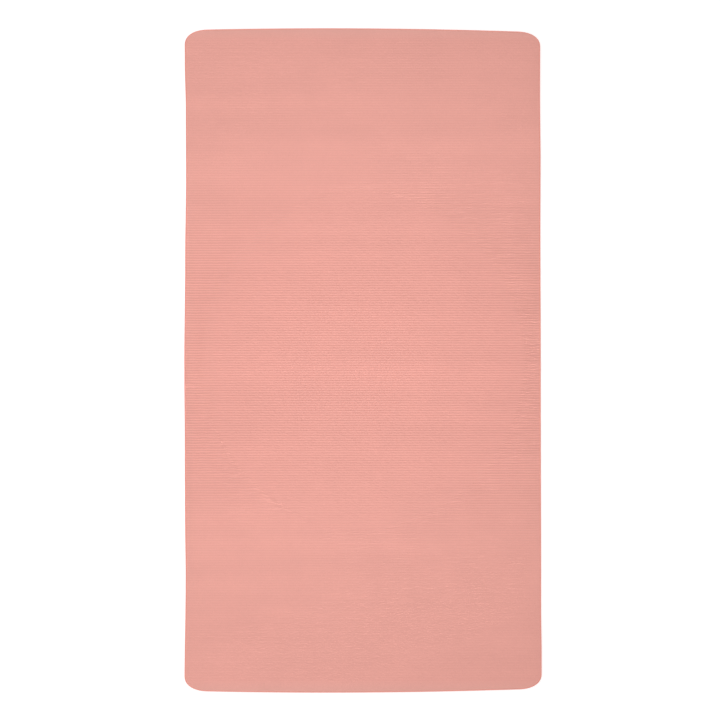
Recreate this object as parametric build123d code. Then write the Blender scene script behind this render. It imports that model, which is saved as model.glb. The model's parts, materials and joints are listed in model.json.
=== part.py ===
from build123d import *
import math
import os

# A one-piece gym mat of soft closed-cell foam, in millimetres. It lies flat, with its length along Y,
# its width along X, its underside on Z = 0 and the origin under its middle. Straight ribs run across its
# full width on both faces, and the foam bends in the grooves between them. The mat rolls up from its
# +Y end, with its upper face inwards. So the slab is divided in its grooves into strips, each a whole
# number of ribs long, and each strip hinges on the next along the bottom of the upper groove between them.

# The slab.
WIDTH = 998.0
THICKNESS = 15.0
RIB_PITCH = 7.0
RIB_COUNT = 266
GROOVE_DEPTH = 0.9
GROOVE_HALF_WIDTH = 1.6

# The outline: elliptical corners, and ends that bow outwards.
CORNER_ACROSS = 72.0
CORNER_ALONG = 44.0
END_BOW = 5.0

# The roll: a spiral that starts round an open core. Each turn adds a little more than the thickness.
STRIP_COUNT = 60
CORE_RADIUS = 26.0
GROWTH_PER_TURN = 18.0

LENGTH = RIB_PITCH * RIB_COUNT
END_Y = LENGTH / 2
HINGE_Z = THICKNESS - GROOVE_DEPTH


def wound_length(angle):
    """The length of foam on the roll once it has turned by that angle, counted from its core."""
    return CORE_RADIUS * angle + GROWTH_PER_TURN * angle**2 / (4 * math.pi)


def whole_angle():
    """The angle by which the whole mat winds: the positive root of wound_length(angle) = LENGTH."""
    square = GROWTH_PER_TURN / (4 * math.pi)
    return (math.sqrt(CORE_RADIUS**2 + 4 * square * LENGTH) - CORE_RADIUS) / (2 * square)


def roll_radius(length):
    """The radius of the roll's inner face where that length of foam is already on it."""
    return math.sqrt(CORE_RADIUS**2 + GROWTH_PER_TURN * length / math.pi)


def strip_ribs():
    """The number of ribs on each strip, from the -Y end. Equal steps of angle are moved to grooves."""
    step = whole_angle() / STRIP_COUNT
    grooves = [round(wound_length(step * k) / RIB_PITCH) for k in range(STRIP_COUNT + 1)]
    from_core = [after - before for before, after in zip(grooves, grooves[1:])]
    return from_core[::-1]


def strip_starts():
    """The Y at which each strip starts, and last the Y at which the mat ends."""
    starts = [-END_Y]
    for ribs in strip_ribs():
        starts.append(starts[-1] + ribs * RIB_PITCH)
    return starts


def bends():
    """The hinges between strips, from the -Y end: each one's Y and its angle on the finished roll."""
    starts = strip_starts()
    found = []
    for before, hinge, after in zip(starts, starts[1:], starts[2:]):
        between_middles = (after - before) / 2
        radius = roll_radius(END_Y - hinge)
        angle = 2 * math.degrees(math.atan(between_middles / (2 * radius)))
        found.append((hinge, angle))
    return found


def side_profile(start, ribs):
    """A strip's outline in the YZ plane: half a groove at each of its ends, and whole grooves between."""
    end = start + ribs * RIB_PITCH
    grooves = [start + k * RIB_PITCH for k in range(1, ribs)]
    underside = [(start, GROOVE_DEPTH), (start + GROOVE_HALF_WIDTH, 0)]
    for y in grooves:
        underside += [(y - GROOVE_HALF_WIDTH, 0), (y, GROOVE_DEPTH), (y + GROOVE_HALF_WIDTH, 0)]
    underside += [(end - GROOVE_HALF_WIDTH, 0), (end, GROOVE_DEPTH)]
    upper_side = [(y, THICKNESS - z) for y, z in reversed(underside)]
    return underside + upper_side


def ribbed_bar(start, ribs):
    """A strip before its ends are trimmed: its profile drawn out across the full width."""
    corners = [(-WIDTH / 2, y, z) for y, z in side_profile(start, ribs)]
    face = make_face(Polyline(*corners, close=True))
    return extrude(face, amount=WIDTH, dir=(1, 0, 0))


def end_outline(side):
    """The edges round the end at +Y (side 1) or -Y (side -1): a corner, the bowed end, a corner."""
    corner_x = WIDTH / 2 - CORNER_ACROSS
    bow_y = END_Y - END_BOW
    centre_y = bow_y - CORNER_ALONG
    right = EllipticalCenterArc((corner_x, centre_y), CORNER_ACROSS, CORNER_ALONG, arc_size=90)
    bow = ThreePointArc((corner_x, bow_y), (0, END_Y), (-corner_x, bow_y))
    left = right.mirror(Plane.YZ)
    edges = [right, bow, left]
    return edges if side > 0 else [edge.mirror(Plane.XZ) for edge in edges]


def outline_block():
    """The mat's outline seen from above, drawn up through the whole thickness."""
    straight_to = END_Y - END_BOW - CORNER_ALONG
    sides = [Line((x, -straight_to), (x, straight_to)) for x in (-WIDTH / 2, WIDTH / 2)]
    face = make_face(end_outline(1) + end_outline(-1) + sides)
    return extrude(face, amount=THICKNESS)


def main():
    os.makedirs("parts", exist_ok=True)
    block = outline_block()
    straight_to = END_Y - END_BOW - CORNER_ALONG
    starts = strip_starts()
    for number, (start, ribs) in enumerate(zip(starts, strip_ribs()), 1):
        strip = ribbed_bar(start, ribs)
        end = start + ribs * RIB_PITCH
        if start < -straight_to or end > straight_to:
            strip = strip & block
        export_step(strip, f"parts/foam_strip_{number:02d}.step")
    angles = [angle for _, angle in bends()]
    print(f"{LENGTH:g} x {WIDTH:g} x {THICKNESS:g} mm, {STRIP_COUNT} strips of {strip_ribs()} ribs")
    print(f"bends from {min(angles):.1f} to {max(angles):.1f} degrees, {sum(angles) / 360:.2f} turns in all")


main()
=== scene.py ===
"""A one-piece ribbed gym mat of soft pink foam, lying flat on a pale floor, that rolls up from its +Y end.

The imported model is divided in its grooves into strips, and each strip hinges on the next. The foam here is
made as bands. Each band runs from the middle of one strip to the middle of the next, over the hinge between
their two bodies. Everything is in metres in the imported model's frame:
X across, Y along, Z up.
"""

import json
import math

import bpy
import numpy as np
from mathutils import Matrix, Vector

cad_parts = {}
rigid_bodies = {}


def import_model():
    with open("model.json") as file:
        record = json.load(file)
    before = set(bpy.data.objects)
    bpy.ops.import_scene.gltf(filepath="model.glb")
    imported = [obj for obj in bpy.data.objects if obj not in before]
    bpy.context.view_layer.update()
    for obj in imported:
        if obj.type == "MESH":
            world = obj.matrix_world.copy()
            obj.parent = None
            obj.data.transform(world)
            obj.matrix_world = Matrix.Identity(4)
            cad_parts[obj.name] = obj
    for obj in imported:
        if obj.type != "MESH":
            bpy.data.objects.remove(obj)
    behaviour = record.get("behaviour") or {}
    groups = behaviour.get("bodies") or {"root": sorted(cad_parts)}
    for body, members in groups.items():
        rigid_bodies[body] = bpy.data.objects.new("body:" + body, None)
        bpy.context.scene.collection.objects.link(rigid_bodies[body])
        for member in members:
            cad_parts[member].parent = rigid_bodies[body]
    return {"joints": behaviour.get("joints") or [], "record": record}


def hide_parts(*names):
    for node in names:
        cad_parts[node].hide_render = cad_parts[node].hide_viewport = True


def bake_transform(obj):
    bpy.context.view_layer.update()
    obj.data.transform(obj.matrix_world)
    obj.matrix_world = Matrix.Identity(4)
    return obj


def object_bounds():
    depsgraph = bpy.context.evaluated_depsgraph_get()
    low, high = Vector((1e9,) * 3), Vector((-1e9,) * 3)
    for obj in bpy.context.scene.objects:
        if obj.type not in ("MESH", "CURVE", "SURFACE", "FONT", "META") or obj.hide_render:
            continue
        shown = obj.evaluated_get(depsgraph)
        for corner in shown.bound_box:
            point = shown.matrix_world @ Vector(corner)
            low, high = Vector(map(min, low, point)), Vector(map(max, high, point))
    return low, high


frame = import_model()
cad_low, cad_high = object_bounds()

# The slab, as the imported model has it.
HALF_WIDTH = cad_high.x
END_Y = cad_high.y
THICKNESS = cad_high.z
RIB_COUNT = 266
RIB_PITCH = 2 * END_Y / RIB_COUNT

# The ribs: round crests that meet in sharp valleys. On the upper face they are deepest in the mat's middle.
RIB_DEPTH = 0.0009
CREST_POWER = 2.4
DEPTH_LEFT_AT_ENDS = 0.25
DEPTH_FALLS_FROM = 0.16
DEPTH_FALLS_TO = 0.62
ROWS_PER_HALF_RIB = 4
ROWS_CROWD_TO_CREST = 1.5

# The outline: corners a little fuller than an ellipse, and ends that bow outwards, most of all a little left
# of the middle.
CORNER_ACROSS = 0.072
CORNER_ALONG = 0.044
CORNER_POWER = 2.3
BOW_PEAK_X = -0.10
BOW_DROP = 0.0317

# The smooth strip along each end, where the rows of the mesh turn from straight ribs to the bowed end.
SMOOTH_RIBS = 3
RIBS_FADE_OVER = 0.016
END_ROWS = 12
END_CROWN = 0.0007
END_CROWN_WIDTH = 0.022

# The upper face's gentle unevenness, always downwards: waves across the mat, stronger in some places than
# in others. The lengths of the wave, its drift, the swell and the patches are in metres over two pi.
HOLLOW_DEPTH = 0.00005
HOLLOW_WAVE = 0.0132
HOLLOW_WAVE_DRIFT = 0.061
HOLLOW_SWELL = 0.031
HOLLOW_SWELL_SHARE = 0.6
HOLLOW_PATCHES = 0.4
HOLLOW_PATCH_ACROSS = 0.11
HOLLOW_PATCH_ALONG = 0.23

# The rounded rim.
RIM_RADIUS = 0.0042
RIM_TURNS = [math.radians(degrees) for degrees in (30, 60, 90)]
WALL_BULGE = 0.0003

# The number of points across each face.
COLUMNS = 17

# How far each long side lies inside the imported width, in metres, at places from the -Y end (-1) to the
# +Y end (1).
LEFT_SIDE = [(-1, -0.001), (-0.65, 0.0025), (-0.45, 0.0005), (-0.3, 0), (0, -0.0015),
             (0.3, 0.001), (0.55, 0.0035), (0.75, 0.003), (0.9, 0), (1, -0.0005)]
RIGHT_SIDE = [(-0.88, -0.0025), (-0.75, -0.001), (0, 0), (0.4, 0.001), (0.6, 0.0005),
              (0.8, 0.002), (1, 0.0015)]


def smooth_step(value):
    """0 below 0, 1 above 1, and an even S between."""
    t = min(max(value, 0.0), 1.0)
    return t * t * (3 - 2 * t)


def side_inset(side, y):
    """How far the long side at +X (1) or -X (-1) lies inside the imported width."""
    points = RIGHT_SIDE if side > 0 else LEFT_SIDE
    inset = points[0][1]
    for (before, low), (after, high) in zip(points, points[1:]):
        inset += (high - low) * smooth_step((y / END_Y - before) / (after - before))
    return inset


def end_reach(x):
    """How far the ends reach from the middle of the mat at that X, held constant over the corners."""
    held = min(max(x, -HALF_WIDTH + CORNER_ACROSS), HALF_WIDTH - CORNER_ACROSS)
    return END_Y - BOW_DROP * (held - BOW_PEAK_X) ** 2


def rib_shape(y):
    """0 on a crest, 1 in a valley."""
    from_valley = (y + END_Y) / RIB_PITCH % 1.0
    return abs(2 * from_valley - 1) ** CREST_POWER


LAST_STRAIGHT_Y = END_Y - SMOOTH_RIBS * RIB_PITCH


def upper_groove(y):
    """The depth of the upper face's ribs at that Y."""
    middle = 1 - smooth_step((abs(y) - DEPTH_FALLS_FROM) / (DEPTH_FALLS_TO - DEPTH_FALLS_FROM))
    share = DEPTH_LEFT_AT_ENDS + (1 - DEPTH_LEFT_AT_ENDS) * middle
    fade = smooth_step((LAST_STRAIGHT_Y - abs(y)) / RIBS_FADE_OVER)
    return RIB_DEPTH * share * fade * rib_shape(y)


def under_groove(y):
    """The depth of the lower face's ribs at that Y."""
    return RIB_DEPTH * smooth_step((LAST_STRAIGHT_Y - abs(y)) / RIBS_FADE_OVER) * rib_shape(y)


def hollow(x, y):
    """How far the upper face's unevenness lies under a flat face."""
    wave = math.sin(y / HOLLOW_WAVE + math.sin(y / HOLLOW_WAVE_DRIFT))
    swell = HOLLOW_SWELL_SHARE * math.sin(y / HOLLOW_SWELL + 2 * x)
    patches = 1 + HOLLOW_PATCHES * math.sin(x / HOLLOW_PATCH_ACROSS + y / HOLLOW_PATCH_ALONG)
    highest = (1 + HOLLOW_SWELL_SHARE) * (1 + HOLLOW_PATCHES)
    return HOLLOW_DEPTH * (highest + (wave + swell) * patches)


def crown(x, y):
    """How far the smooth strip along each end curves down."""
    return END_CROWN * smooth_step(1 - (end_reach(x) - abs(y)) / END_CROWN_WIDTH) ** 2


def upper_z(x, y):
    return THICKNESS - upper_groove(y) - hollow(x, y) - crown(x, y)


def under_z(x, y):
    return under_groove(y) + crown(x, y)


def section_edge():
    """The rim from the upper face to the lower one: each point's inset from the outline, and how far down."""
    upper = [(RIM_RADIUS * (1 - math.sin(turn)) + WALL_BULGE, RIM_RADIUS * (1 - math.cos(turn)))
             for turn in RIM_TURNS]
    lower = [(inset, THICKNESS - down) for inset, down in reversed(upper)]
    return upper + [(0.0, THICKNESS / 2)] + lower


EDGE = section_edge()
INNER = RIM_RADIUS + WALL_BULGE


def outline_point(side, end, reach, inset):
    """The point that far inside the outline, where a row that reaches so far from the middle ends."""
    corner_starts = end_reach(side * HALF_WIDTH) - CORNER_ALONG
    share_along = min(max((reach - corner_starts) / (CORNER_ALONG - INNER), 0.0), 1.0)
    share_across = (1 - share_along ** CORNER_POWER) ** (1 / CORNER_POWER)
    y = reach if share_along == 0 else corner_starts + (CORNER_ALONG - inset) * share_along
    corner_centre = HALF_WIDTH - side_inset(side, end * y) - CORNER_ACROSS
    return side * (corner_centre + (CORNER_ACROSS - inset) * share_across), end * y


def shares_of_faces(down):
    """How much of the upper face's relief, and of the lower face's, is left that far down the rim."""
    return max(0.0, 1 - down / RIM_RADIUS), max(0.0, 1 - (THICKNESS - down) / RIM_RADIUS)


def edge_height(x, y, down):
    """The rim's height that far down it, where the two faces end at that X and Y."""
    of_upper, of_under = shares_of_faces(down)
    return THICKNESS - down - of_upper * (THICKNESS - upper_z(x, y)) + of_under * under_z(x, y)


class Row:
    """One closed ring round the mat: across the upper face, down the right rim, back underneath, up the left
    rim. A straight row lies at one Y. In the smooth strip at each end a row turns by its share towards the
    bowed end."""

    def __init__(self, end, reach, share=0.0):
        self.end = end
        self.reach = reach
        self.share = share

    def reach_at(self, x):
        return self.reach + self.share * (end_reach(x) - INNER - self.reach)

    def face_ends_at(self, side):
        """The X at which the two faces meet the rim on that side."""
        return outline_point(side, self.end, self.reach_at(side * HALF_WIDTH), INNER)[0]

    def points(self):
        left, right = [self.face_ends_at(side) for side in (-1, 1)]
        xs = [left + (right - left) * column / (COLUMNS - 1) for column in range(COLUMNS)]
        ys = [self.end * self.reach_at(x) for x in xs]
        upper = [(x, y, upper_z(x, y)) for x, y in zip(xs, ys)]
        under = [(x, y, under_z(x, y)) for x, y in zip(xs, ys)]
        return upper + self.rim(1) + under[::-1] + self.rim(-1)[::-1]

    def rim(self, side):
        reach = self.reach_at(side * HALF_WIDTH)
        found = []
        for inset, down in EDGE:
            x, y = outline_point(side, self.end, reach, inset)
            found.append((x, y, edge_height(x, self.end * reach, down)))
        return found


def end_wall(end, xs):
    """The rim along the bowed end, for each column between the two corners."""
    found = []
    for x in xs:
        face_ends = end * (end_reach(x) - INNER)
        for inset, down in EDGE:
            found.append((x, end * (end_reach(x) - inset), edge_height(x, face_ends, down)))
    return found


def rows_along_the_mat():
    """Every row from the -Y end to the +Y end, and whether it lies in a valley."""
    shares = [1 - (1 - step / END_ROWS) ** 2 for step in range(1, END_ROWS + 1)]
    rows = [(Row(-1, LAST_STRAIGHT_Y, share), False) for share in reversed(shares)]
    half_rib = [(step / ROWS_PER_HALF_RIB) ** ROWS_CROWD_TO_CREST for step in range(ROWS_PER_HALF_RIB + 1)]
    for rib in range(SMOOTH_RIBS, RIB_COUNT - SMOOTH_RIBS):
        crest = (rib + 0.5) * RIB_PITCH - END_Y
        for from_crest in [-u for u in reversed(half_rib)] + half_rib[1:-1]:
            y = crest + from_crest * RIB_PITCH / 2
            rows.append((Row(1 if y > 0 else -1, abs(y)), from_crest == -1))
    rows.append((Row(1, LAST_STRAIGHT_Y), True))
    rows += [(Row(1, LAST_STRAIGHT_Y, share), False) for share in shares]
    return rows


# The places in a ring: the upper face's columns, the right rim downwards, the lower face's columns, and the
# left rim upwards.
RIM_POINTS = len(EDGE)
RING = 2 * (COLUMNS + RIM_POINTS)
UPPER = list(range(COLUMNS))
RIGHT_RIM = [COLUMNS + step for step in range(RIM_POINTS)]
UNDER = [2 * COLUMNS + RIM_POINTS - 1 - column for column in range(COLUMNS)]
LEFT_RIM = [RING - 1 - step for step in range(RIM_POINTS)]
RIM_SHARE = [1 - inset / INNER for inset, _ in EDGE]


def closing_faces(ring_start, facing):
    """The faces that close a band where it meets the next one, facing -Y (-1) or +Y (1)."""
    faces = [[UNDER[i], UNDER[i + 1], UPPER[i + 1], UPPER[i]] for i in range(COLUMNS - 1)]
    faces.append([UNDER[-1]] + RIGHT_RIM[::-1] + [UPPER[-1]])
    faces.append([UPPER[0]] + LEFT_RIM + [UNDER[0]])
    return [[ring_start + place for place in (face if facing < 0 else face[::-1])] for face in faces]


def wall_faces(ring_start, wall_start, facing):
    """The faces of the bowed end's rim, between the chains of points that go down it at each column."""
    chains = []
    for column in range(COLUMNS):
        if column in (0, COLUMNS - 1):
            rim = [ring_start + place for place in (LEFT_RIM if column == 0 else RIGHT_RIM)]
        else:
            rim = [wall_start + (column - 1) * RIM_POINTS + step for step in range(RIM_POINTS)]
        chains.append([ring_start + UPPER[column]] + rim + [ring_start + UNDER[column]])
    faces = []
    for left, right in zip(chains, chains[1:]):
        for step in range(len(left) - 1):
            face = [left[step], left[step + 1], right[step + 1], right[step]]
            faces.append(face if facing < 0 else face[::-1])
    return faces


def ring_facts(row):
    """For each point of a ring: how deep in a groove it lies, and how far out on the rim."""
    straight = 1 - row.share
    upper = straight * upper_groove(row.reach) / RIB_DEPTH
    under = straight * under_groove(row.reach) / RIB_DEPTH
    groove = [0.0] * RING
    rim = [0.0] * RING
    for column in range(COLUMNS):
        groove[UPPER[column]] = upper
        groove[UNDER[column]] = under
    for places in (RIGHT_RIM, LEFT_RIM):
        for place, share, (_, down) in zip(places, RIM_SHARE, EDGE):
            of_upper, of_under = shares_of_faces(down)
            groove[place] = upper * of_upper + under * of_under
            rim[place] = share
    return groove, rim


def store(mesh, name, kind, values, domain="POINT"):
    """Writes one value for each point or edge as a named attribute of the mesh."""
    attribute = mesh.attributes.new(name, kind, domain)
    attribute.data.foreach_set("vector" if kind == "FLOAT_VECTOR" else "value", np.ravel(values))


def foam_band(name, rows, first, last):
    """A band of the mat as a closed mesh. first and last say whether it has the -Y end or the +Y end."""
    points, groove, rim, faces = [], [], [], []
    for row, _ in rows:
        points += row.points()
        row_groove, row_rim = ring_facts(row)
        groove += row_groove
        rim += row_rim
    for ring in range(len(rows) - 1):
        for place in range(RING):
            after = (place + 1) % RING
            faces.append([ring * RING + place, ring * RING + after,
                          (ring + 1) * RING + after, (ring + 1) * RING + place])
    for at_end, ring, facing in ((first, 0, -1), (last, len(rows) - 1, 1)):
        start = ring * RING
        if at_end:
            columns = [points[start + place][0] for place in UPPER[1:-1]]
            faces += wall_faces(start, len(points), facing)
            points += end_wall(facing, columns)
            groove += [0.0] * (RIM_POINTS * len(columns))
            rim += RIM_SHARE * len(columns)
        else:
            faces += closing_faces(start, facing)
    mesh = bpy.data.meshes.new(name)
    mesh.from_pydata(points, [], faces, shade_flat=False)
    creased = {ring for ring, (_, valley) in enumerate(rows) if valley}
    creased |= set() if first else {0}
    creased |= set() if last else {len(rows) - 1}
    ends = np.empty(len(mesh.edges) * 2, np.int32)
    mesh.edges.foreach_get("vertices", ends)
    ring_of = np.where(ends < len(rows) * RING, ends // RING, -1 - ends).reshape(-1, 2)
    sharp = (ring_of[:, 0] == ring_of[:, 1]) & np.isin(ring_of[:, 0], list(creased))
    store(mesh, "sharp_edge", "BOOLEAN", sharp, "EDGE")
    store(mesh, "rest_place", "FLOAT_VECTOR", points)
    store(mesh, "groove", "FLOAT", groove)
    store(mesh, "rim", "FLOAT", rim)
    band = bpy.data.objects.new(name, mesh)
    bpy.context.scene.collection.objects.link(band)
    return band


def build_mat(material):
    """Divides the rows into bands, one over each hinge, and hides the imported parts of each hinge's two
    strips.
    """
    joints = sorted(frame["joints"], key=lambda joint: joint["pos_m"][1])
    borders = [-END_Y] + [joint["pos_m"][1] for joint in joints] + [END_Y]
    middles = [(before + after) / 2 for before, after in zip(borders, borders[1:])]
    rows = rows_along_the_mat()
    straight = [row.end * row.reach if row.share == 0 else math.inf for row, _ in rows]
    for number, joint in enumerate(joints):
        start_y, end_y = middles[number], middles[number + 1]
        first, last = number == 0, number == len(joints) - 1
        nearest = [min(range(len(rows)), key=lambda i, y=y: abs(straight[i] - y)) for y in (start_y, end_y)]
        low = 0 if first else nearest[0]
        high = len(rows) - 1 if last else nearest[1]
        band = foam_band(f"foam_band_{number + 1:02d}", rows[low:high + 1], first, last)
        band.data.materials.append(material)
        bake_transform(band)
        nodes = [frame["record"]["behaviour"]["bodies"][joint[side]][0] for side in ("parent", "child")]
        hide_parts(*nodes)


class Nodes:
    """A material's node tree, with short ways to add a node and to join it up."""

    def __init__(self, name):
        self.material = bpy.data.materials.new(name)
        self.material.use_nodes = True
        self.tree = self.material.node_tree
        self.shader = self.tree.nodes["Principled BSDF"]

    def add(self, kind, inputs=(), **settings):
        made = self.tree.nodes.new("ShaderNode" + kind)
        for key, value in settings.items():
            setattr(made, key, value)
        for socket, value in dict(inputs).items():
            if isinstance(value, bpy.types.NodeSocket):
                self.tree.links.new(value, made.inputs[socket])
            else:
                made.inputs[socket].default_value = value
        return made

    def to_shader(self, output, socket):
        self.tree.links.new(output, self.shader.inputs[socket])

    def value(self, operation, first, second=0.0, third=0.0):
        return self.add("Math", {0: first, 1: second, 2: third}, operation=operation).outputs[0]

    def scaled(self, vector, by):
        return self.add("VectorMath", {0: vector, 1: by}, operation="MULTIPLY").outputs[0]

    def mixed(self, share, first, second):
        return self.add("Mix", {"Factor": share, 6: first, 7: second}, data_type="RGBA").outputs[2]

    def noise(self, vector, scale, detail=2.0, roughness=0.5):
        inputs = {"Vector": vector, "Scale": scale, "Detail": detail, "Roughness": roughness}
        return self.add("TexNoise", inputs).outputs["Fac"]

    def attribute(self, name):
        return self.add("Attribute", attribute_name=name)


# The foam's colours, among them the painted shade that darkens the valleys, and how far in from each end the
# greyer tint reaches.
FOAM_PINK = (0.84, 0.382, 0.326, 1)
RIM_PINK = (0.84, 0.31, 0.25, 1)
# The painted shade of the rib valleys: a darker, deeper pink.
VALLEY_PAINTED_SHADE = (0.66, 0.29, 0.245, 1)
END_PINK = (0.795, 0.392, 0.338, 1)
END_TINT_WIDTH = 0.036
# How much of the valleys' painted shade is laid on where a groove is deepest.
VALLEY_SHADE_SHARE = 0.8

# The foam's patterns, from the widest to the finest: shade bands across the mat, clouds, dimples, and a skin
# of cells and speckle. Each scale is in patterns to a metre.
BAND_SCALE = (0.9, 13.0, 1.0)
CLOUD_SCALE = 9.0
DIMPLE_SCALE = 160.0
CELL_SCALE = 700.0
SPECKLE_SCALE = 900.0

# By how much each pattern changes the shade, from its darkest to its lightest.
BAND_SHADE = 0.10
CLOUD_SHADE = 0.06
SPECKLE_SHADE = 0.30

# The relief of the skin: its whole depth in metres, and each pattern's share of it.
SKIN_DEPTH = 0.0005
SKIN_STRENGTH = 0.7
DIMPLE_RELIEF = 0.6
CELL_RELIEF = 0.7
SPECKLE_RELIEF = 0.8

# The skin's roughness, which varies with the clouds and is highest in the valleys, and the tint of its sheen.
ROUGHNESS = 0.56
CLOUD_ROUGHNESS = 0.14
VALLEY_ROUGHNESS = 0.08
SHEEN_TINT = (1.0, 0.80, 0.76, 1)


def foam_colour(n, place, clouds, speckle):
    """Pink, a little uneven along the mat, greyer at its ends, deeper on its rim, and with painted shade in
    its valleys.
    """
    groove = n.attribute("groove").outputs["Fac"]
    rim = n.attribute("rim").outputs["Fac"]
    bands = n.noise(n.scaled(place, BAND_SCALE), 1.0, detail=1.5)
    shade = n.value("MULTIPLY_ADD", bands, BAND_SHADE, 1 - BAND_SHADE / 2)
    shade = n.value("ADD", shade, n.value("MULTIPLY_ADD", clouds, CLOUD_SHADE, -CLOUD_SHADE / 2))
    shade = n.value("ADD", shade, n.value("MULTIPLY_ADD", speckle, SPECKLE_SHADE, -SPECKLE_SHADE / 2))
    along = n.value("ABSOLUTE", n.add("SeparateXYZ", {"Vector": place}).outputs["Y"])
    tint_range = {"Value": along, "From Min": END_Y - END_TINT_WIDTH, "From Max": END_Y}
    at_end = n.add("MapRange", tint_range).outputs["Result"]
    body = n.mixed(at_end, FOAM_PINK, END_PINK)
    # Painted shade: the valleys of the ribs get a darker, deeper pink, by how deep in a groove each point
    # lies.
    ribbed = n.mixed(n.value("MULTIPLY", groove, VALLEY_SHADE_SHARE), body, VALLEY_PAINTED_SHADE)
    edged = n.mixed(n.value("SQRT", rim), ribbed, RIM_PINK)
    return n.add("VectorMath", {0: edged, "Scale": shade}, operation="SCALE").outputs[0]


def foam_material():
    """Matt closed-cell nitrile foam, with a skin of fine shallow cells."""
    n = Nodes("nitrile_foam")
    place = n.attribute("rest_place").outputs["Vector"]
    groove = n.attribute("groove").outputs["Fac"]
    clouds = n.noise(place, CLOUD_SCALE, detail=3.0)
    speckle = n.noise(place, SPECKLE_SCALE, roughness=0.6)
    n.to_shader(foam_colour(n, place, clouds, speckle), "Base Color")
    roughness = n.value("MULTIPLY_ADD", clouds, CLOUD_ROUGHNESS, ROUGHNESS)
    n.to_shader(n.value("ADD", roughness, n.value("MULTIPLY", groove, VALLEY_ROUGHNESS)), "Roughness")
    n.shader.inputs["Specular IOR Level"].default_value = 0.25
    n.shader.inputs["Sheen Weight"].default_value = 0.03
    n.shader.inputs["Sheen Roughness"].default_value = 0.5
    n.shader.inputs["Sheen Tint"].default_value = SHEEN_TINT
    cells = n.add("TexVoronoi", {"Vector": place, "Scale": CELL_SCALE, "Randomness": 1.0}).outputs["Distance"]
    dimples = n.noise(place, DIMPLE_SCALE)
    skin = n.value("MULTIPLY", cells, CELL_RELIEF)
    skin = n.value("ADD", skin, n.value("MULTIPLY", speckle, SPECKLE_RELIEF))
    skin = n.value("ADD", skin, n.value("MULTIPLY", dimples, DIMPLE_RELIEF))
    bump = n.add("Bump", {"Strength": SKIN_STRENGTH, "Distance": SKIN_DEPTH, "Height": skin})
    n.to_shader(bump.outputs["Normal"], "Normal")
    return n.material


# The stage: a pale floor with a glow of its own, so that the mat hardly shades it, under a sky that is white
# at the horizon.
FLOOR_SIZE = 120.0
FLOOR_Z = -0.0002
FLOOR_GREY = 0.60
FLOOR_GLOW = 0.58
SKY_ABOVE = 0.65
SKY_AT_HORIZON = 1.0
HORIZON_GLOW_ENDS_AT = 0.5

# Each lamp hangs well above the mat, which may rise on a bend, and faces down: its place, its size across and
# along in metres, the angle of its beam in degrees, and its power in watts.
LAMPS = {
    "long_softbox": ((-0.6, 0, 2.5), (1.0, 7.0), 180, 31.5),
    "middle_pool": ((0, 0, 2.0), (1.2, 0.1), 60, 0.98),
}


def build_floor():
    half = FLOOR_SIZE / 2
    corners = [(-half, -half), (half, -half), (half, half), (-half, half)]
    mesh = bpy.data.meshes.new("floor")
    mesh.from_pydata([(x, y, FLOOR_Z) for x, y in corners], [], [(0, 1, 2, 3)])
    floor = bpy.data.objects.new("floor", mesh)
    bpy.context.scene.collection.objects.link(floor)
    n = Nodes("pale_floor")
    n.shader.inputs["Base Color"].default_value = (FLOOR_GREY, FLOOR_GREY, FLOOR_GREY, 1)
    n.shader.inputs["Roughness"].default_value = 0.8
    n.shader.inputs["Specular IOR Level"].default_value = 0.1
    n.shader.inputs["Emission Color"].default_value = (1, 1, 1, 1)
    n.shader.inputs["Emission Strength"].default_value = FLOOR_GLOW
    mesh.materials.append(n.material)


def build_sky():
    """A white surround, brightest at the horizon and below."""
    world = bpy.data.worlds.new("studio")
    world.use_nodes = True
    nodes, links = world.node_tree.nodes, world.node_tree.links
    direction = nodes.new("ShaderNodeTexCoord")
    split = nodes.new("ShaderNodeSeparateXYZ")
    strength = nodes.new("ShaderNodeMapRange")
    strength.inputs["From Max"].default_value = HORIZON_GLOW_ENDS_AT
    strength.inputs["To Min"].default_value = SKY_AT_HORIZON
    strength.inputs["To Max"].default_value = SKY_ABOVE
    links.new(direction.outputs["Generated"], split.inputs["Vector"])
    links.new(split.outputs["Z"], strength.inputs["Value"])
    links.new(strength.outputs["Result"], nodes["Background"].inputs["Strength"])
    nodes["Background"].inputs["Color"].default_value = (1, 1, 1, 1)
    bpy.context.scene.world = world


def build_lamps():
    """A long soft lamp high above the mat's left side, and a pool of light on the middle of the mat."""
    for name, (place, (across, along), beam, power) in LAMPS.items():
        lamp = bpy.data.lights.new(name, "AREA")
        lamp.shape = "RECTANGLE"
        lamp.size = across
        lamp.size_y = along
        lamp.spread = math.radians(beam)
        lamp.energy = power
        holder = bpy.data.objects.new(name, lamp)
        holder.location = place
        holder.visible_camera = False
        bpy.context.scene.collection.objects.link(holder)


# The camera looks straight down, with +Y up in the picture. The picture is a little over two metres wide.
PICTURE_WIDTH = 2.0185
LENS = 100.0
SENSOR = 36.0
CAMERA_X, CAMERA_Y = -0.0078, 0.0013


def build_camera():
    camera = bpy.data.cameras.new("camera")
    camera.lens = LENS
    camera.sensor_width = SENSOR
    holder = bpy.data.objects.new("camera", camera)
    holder.location = (CAMERA_X, CAMERA_Y, THICKNESS / 2 + PICTURE_WIDTH * LENS / SENSOR)
    bpy.context.scene.collection.objects.link(holder)
    bpy.context.scene.camera = holder


build_mat(foam_material())
build_floor()
build_sky()
build_lamps()
build_camera()
bpy.context.scene.view_settings.view_transform = "Standard"
